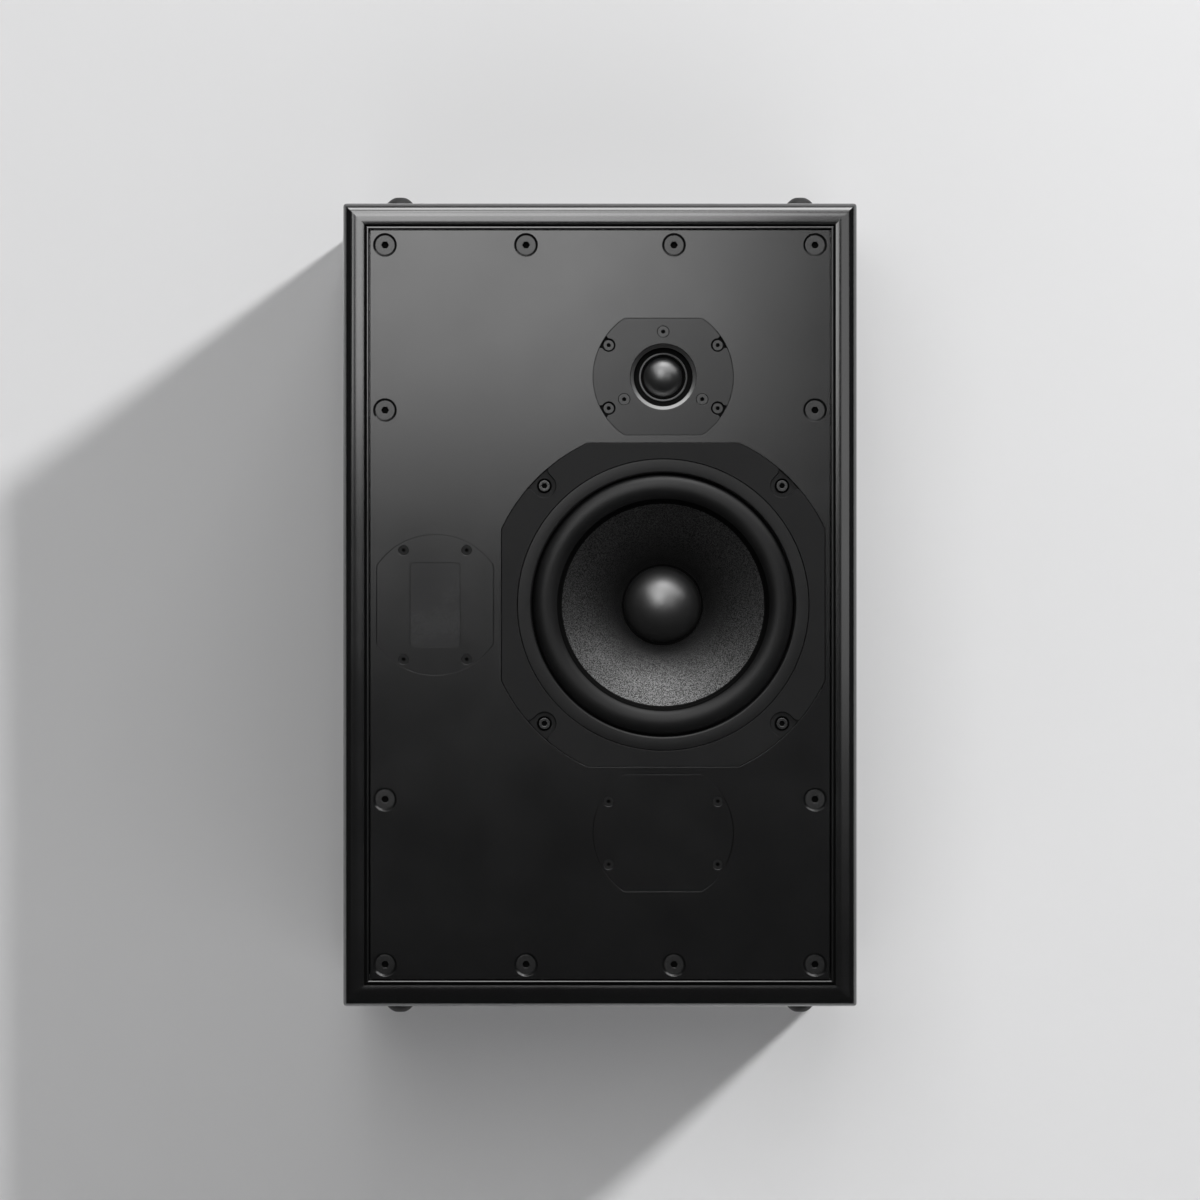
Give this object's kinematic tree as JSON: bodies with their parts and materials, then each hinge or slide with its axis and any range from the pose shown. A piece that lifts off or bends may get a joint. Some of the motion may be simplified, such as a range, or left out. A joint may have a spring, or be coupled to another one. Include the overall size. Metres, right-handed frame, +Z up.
{
  "type": "studio monitor speaker",
  "caption": "Two-way studio monitor speaker: a flat-fronted closed cabinet with a moulded edge, an offset woofer under a dome tweeter, and blank plates for other tweeter places.",
  "frame": {"origin": "under the middle of the cabinet, on the plane that the bottom feet stand on", "axes": "+Z up, the baffle faces -Y, +X to the right as seen by someone facing the baffle"},
  "size_m": [0.32, 0.2, 0.513],
  "materials": {
    "cabinet_lacquer": "satin",
    "panel_lacquer": "satin",
    "bare_board": "matte",
    "gasket_foam": "matte",
    "black_steel": "satin",
    "brass": "satin",
    "cast_alloy": "satin",
    "trim_plastic": "satin",
    "surround_rubber": "satin",
    "cone_plastic": "satin",
    "cap_cloth": "satin",
    "former_film": "satin",
    "copper_coil": "satin",
    "spider_cloth": "matte",
    "plain_steel": "satin",
    "ferrite": "matte",
    "strip_board": "matte",
    "tweeter_plate": "satin",
    "dome_cloth": "satin",
    "small_rubber": "satin",
    "support_plastic": "satin",
    "magnet_plating": "satin",
    "chamber_plastic": "matte",
    "badge_plate": "satin",
    "foot_rubber": "matte",
    "zinc_steel": "satin",
    "cup_plastic": "matte",
    "red_plastic": "satin",
    "black_plastic": "satin",
    "circuit_board": "satin",
    "capacitor_film": "satin",
    "resistor_ceramic": "matte",
    "wire_jacket": "satin",
    "wadding_foam": "matte"
  },
  "bodies": {
    "cabinet": {"left_side": "cabinet_lacquer", "right_side": "cabinet_lacquer", "top_board": "cabinet_lacquer", "bottom_board": "cabinet_lacquer", "back_panel": "cabinet_lacquer", "side_battens": "bare_board", "cross_battens": "bare_board", "window_brace": "bare_board", "baffle_gasket": "gasket_foam", "baffle": "panel_lacquer", "baffle_screws": "black_steel", "threaded_inserts": "brass", "woofer_frame": "cast_alloy", "woofer_gasket": "gasket_foam", "woofer_trim_ring": "trim_plastic", "woofer_surround": "surround_rubber", "woofer_spider": "spider_cloth", "woofer_top_plate": "plain_steel", "woofer_magnet": "ferrite", "woofer_yoke": "plain_steel", "driver_terminals": "strip_board", "woofer_screws": "black_steel", "tweeter_faceplate": "tweeter_plate", "faceplate_gaskets": "gasket_foam", "tweeter_surround": "small_rubber", "tweeter_support_ring": "support_plastic", "tweeter_top_plate": "plain_steel", "tweeter_magnet": "magnet_plating", "tweeter_yoke": "plain_steel", "tweeter_rear_chamber": "chamber_plastic", "tweeter_screws": "black_steel", "tweeter_motor_screws": "black_steel", "side_blank": "panel_lacquer", "lower_blank": "panel_lacquer", "blank_screws": "black_steel", "badge": "badge_plate", "feet": "foot_rubber", "foot_screws": "zinc_steel", "terminal_cup": "cup_plastic", "cup_screws": "black_steel", "post_studs": "brass", "post_nuts": "brass", "crossover_board": "circuit_board", "board_standoffs": "brass", "inductors": "copper_coil", "capacitors": "capacitor_film", "resistors": "resistor_ceramic", "signal_leads": "wire_jacket", "damping_foam": "wadding_foam"},
    "woofer_cone_assembly": {"woofer_cone": "cone_plastic", "woofer_dust_cap": "cap_cloth", "woofer_former": "former_film", "woofer_coil": "copper_coil"},
    "tweeter_dome_assembly": {"tweeter_dome": "dome_cloth", "tweeter_coil": "copper_coil"},
    "red_post_core": {"red_core": "brass"},
    "red_post_cap": {"red_cap": "red_plastic"},
    "black_post_core": {"black_core": "brass"},
    "black_post_cap": {"black_cap": "black_plastic"}
  },
  "joints": [
    {"name": "woofer_travel", "type": "slide", "parent": "cabinet", "child": "woofer_cone_assembly", "axis": [0, -1, 0], "range_m": [-0.006, 0.006], "stiffness_N_per_m": 1500, "deforming": ["woofer_surround", "woofer_spider"]},
    {"name": "tweeter_travel", "type": "slide", "parent": "cabinet", "child": "tweeter_dome_assembly", "axis": [0, -1, 0], "range_m": [-0.0005, 0.0005], "stiffness_N_per_m": 300, "deforming": ["tweeter_surround"]},
    {"name": "red_cap_travel", "type": "slide", "parent": "cabinet", "child": "red_post_core", "axis": [0, 1, 0], "range_m": [0, 0.006]},
    {"name": "red_cap_turn", "type": "hinge", "parent": "red_post_core", "child": "red_post_cap", "pos_m": [-0.00953, 0.078, 0.0845], "axis": [0, 1, 0], "range_deg": [0, 2160]},
    {"name": "black_cap_travel", "type": "slide", "parent": "cabinet", "child": "black_post_core", "axis": [0, 1, 0], "range_m": [0, 0.006]},
    {"name": "black_cap_turn", "type": "hinge", "parent": "black_post_core", "child": "black_post_cap", "pos_m": [0.00953, 0.078, 0.0845], "axis": [0, 1, 0], "range_deg": [0, 2160]}
  ],
  "couplings": [
    {"joint": "red_cap_turn", "follows": "red_cap_travel", "rad_per_m": 6283.2},
    {"joint": "black_cap_turn", "follows": "black_cap_travel", "rad_per_m": 6283.2}
  ]
}
